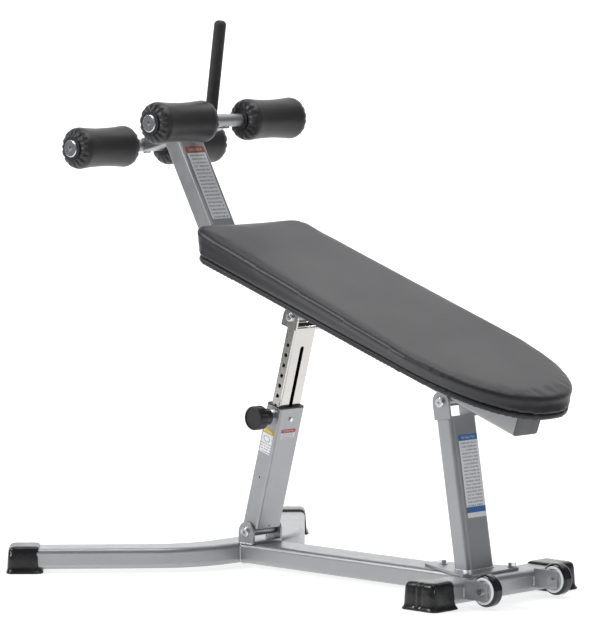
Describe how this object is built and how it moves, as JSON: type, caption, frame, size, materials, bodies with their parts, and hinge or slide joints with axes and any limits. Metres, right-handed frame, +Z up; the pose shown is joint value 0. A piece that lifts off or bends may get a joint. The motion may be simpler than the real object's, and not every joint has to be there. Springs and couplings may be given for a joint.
{
  "type": "decline sit up bench",
  "caption": "Adjustable decline sit up bench with a padded board, foam leg-hold rollers, a slanted hand grip, a telescoping pin post and transport wheels.",
  "frame": {"origin": "centre of the whole object's outline on the floor", "axes": "+X towards the head and wheel end, +Z up, y = 0 is the plane of symmetry"},
  "size_m": [1.3829, 1.038, 1.3277],
  "materials": {
    "frame_paint": "silver metallic powder coat",
    "bright_plate": "satin nickel-chrome plate",
    "zinc": "bright zinc plate",
    "spring_steel": "oiled spring steel",
    "foot_plastic": "glossy black",
    "bush_plastic": "satin black moulded",
    "end_cap_plastic": "dark grey moulded",
    "wheel_hub": "pale grey moulded",
    "wheel_tyre": "glossy black elastomer",
    "board": "plywood wrapped in black vinyl",
    "pad_vinyl": "charcoal vinyl, fine grain",
    "roller_vinyl": "black vinyl over foam",
    "grip_foam": "black foam grip",
    "post_label": "printed label, blue and white",
    "upright_label": "printed label, rust and white",
    "front_label": "printed label, red and white",
    "side_label": "printed label, yellow and white"
  },
  "bodies": {
    "base": {"base_spine": "frame_paint", "rear_cross_tube": "frame_paint", "front_leg_tube": "frame_paint", "lower_pivot_bracket": "frame_paint", "lower_pivot_bolt": "zinc", "rear_post_plate": "frame_paint", "plate_bolts": "zinc", "rear_post": "frame_paint", "rear_clevis": "frame_paint", "rear_pivot_bolt": "zinc", "wheel_forks": "frame_paint", "wheel_axles": "zinc", "foot_cap_rear_left": "foot_plastic", "foot_cap_rear_right": "foot_plastic", "foot_cap_front_left": "foot_plastic", "foot_cap_front_right": "foot_plastic", "rear_post_label": "post_label"},
    "post_outer": {"post_outer_tube": "frame_paint", "post_pivot_sleeve": "frame_paint", "post_bushings": "bush_plastic", "post_collar": "bush_plastic", "guide_screw": "zinc", "pin_barrel": "zinc", "pin_spring": "spring_steel", "post_front_label": "front_label", "post_side_label": "side_label"},
    "post_inner": {"post_inner_tube": "bright_plate", "top_bracket": "bright_plate", "top_pivot_bolt": "zinc"},
    "pull_pin": {"pin_plunger": "zinc", "pin_knob": "bush_plastic"},
    "seat": {"seat_rail": "frame_paint", "rail_end_cap": "end_cap_plastic", "rear_pivot_sleeve": "frame_paint", "rear_bushings": "bush_plastic", "top_pivot_sleeve": "frame_paint", "pad_support_front": "frame_paint", "pad_support_middle": "frame_paint", "pad_support_rear": "frame_paint", "pad_screws": "zinc", "pad_board": "board", "pad_cushion": "pad_vinyl", "leg_upright": "frame_paint", "roller_beam": "frame_paint", "knee_bar": "frame_paint", "ankle_bar": "frame_paint", "bar_end_caps": "zinc", "roller_collars": "bush_plastic", "bar_screws": "zinc", "handle_tube": "frame_paint", "handle_grip": "grip_foam", "upright_label": "upright_label"},
    "wheel_left": {"wheel_hub_left": "wheel_hub", "wheel_tyre_left": "wheel_tyre"},
    "knee_roller_left": {"knee_roller_left": "roller_vinyl"},
    "ankle_roller_left": {"ankle_roller_left": "roller_vinyl"},
    "wheel_right": {"wheel_hub_right": "wheel_hub", "wheel_tyre_right": "wheel_tyre"},
    "knee_roller_right": {"knee_roller_right": "roller_vinyl"},
    "ankle_roller_right": {"ankle_roller_right": "roller_vinyl"}
  },
  "joints": [
    {"name": "seat_tilt", "type": "hinge", "parent": "base", "child": "seat", "pos_m": [0.3855, 0, 0.452], "axis": [0, 1, 0], "range_deg": [-20.3, 2.9]},
    {"name": "post_tilt", "type": "hinge", "parent": "base", "child": "post_outer", "pos_m": [-0.2485, 0, 0.088], "axis": [0, 1, 0], "range_deg": [-0.4, 2.3]},
    {"name": "post_slide", "type": "slide", "parent": "post_outer", "child": "post_inner", "axis": [0.2714, 0, 0.9625], "range_m": [-0.18, 0.026]},
    {"name": "pin_pull", "type": "slide", "parent": "post_outer", "child": "pull_pin", "axis": [0, -1, 0], "range_m": [0, 0.012], "stiffness_N_per_m": 900, "springref_m": -0.006},
    {"name": "wheel_spin_left", "type": "hinge", "parent": "base", "child": "wheel_left", "pos_m": [0.5978, 0.1216, 0.043], "axis": [0, 1, 0], "continuous": true},
    {"name": "knee_spin_left", "type": "hinge", "parent": "seat", "child": "knee_roller_left", "pos_m": [-0.3673, 0.152, 1.0836], "axis": [0, 1, 0], "continuous": true},
    {"name": "ankle_spin_left", "type": "hinge", "parent": "seat", "child": "ankle_roller_left", "pos_m": [-0.6453, 0.152, 1.0154], "axis": [0, 1, 0], "continuous": true},
    {"name": "wheel_spin_right", "type": "hinge", "parent": "base", "child": "wheel_right", "pos_m": [0.5978, -0.1216, 0.043], "axis": [0, 1, 0], "continuous": true},
    {"name": "knee_spin_right", "type": "hinge", "parent": "seat", "child": "knee_roller_right", "pos_m": [-0.3673, -0.152, 1.0836], "axis": [0, 1, 0], "continuous": true},
    {"name": "ankle_spin_right", "type": "hinge", "parent": "seat", "child": "ankle_roller_right", "pos_m": [-0.6453, -0.152, 1.0154], "axis": [0, 1, 0], "continuous": true}
  ],
  "couplings": [
    {"joint": "post_tilt", "follows": "seat_tilt", "ratio": -0.10723},
    {"joint": "post_slide", "follows": "seat_tilt", "m_per_rad": 0.50662}
  ]
}
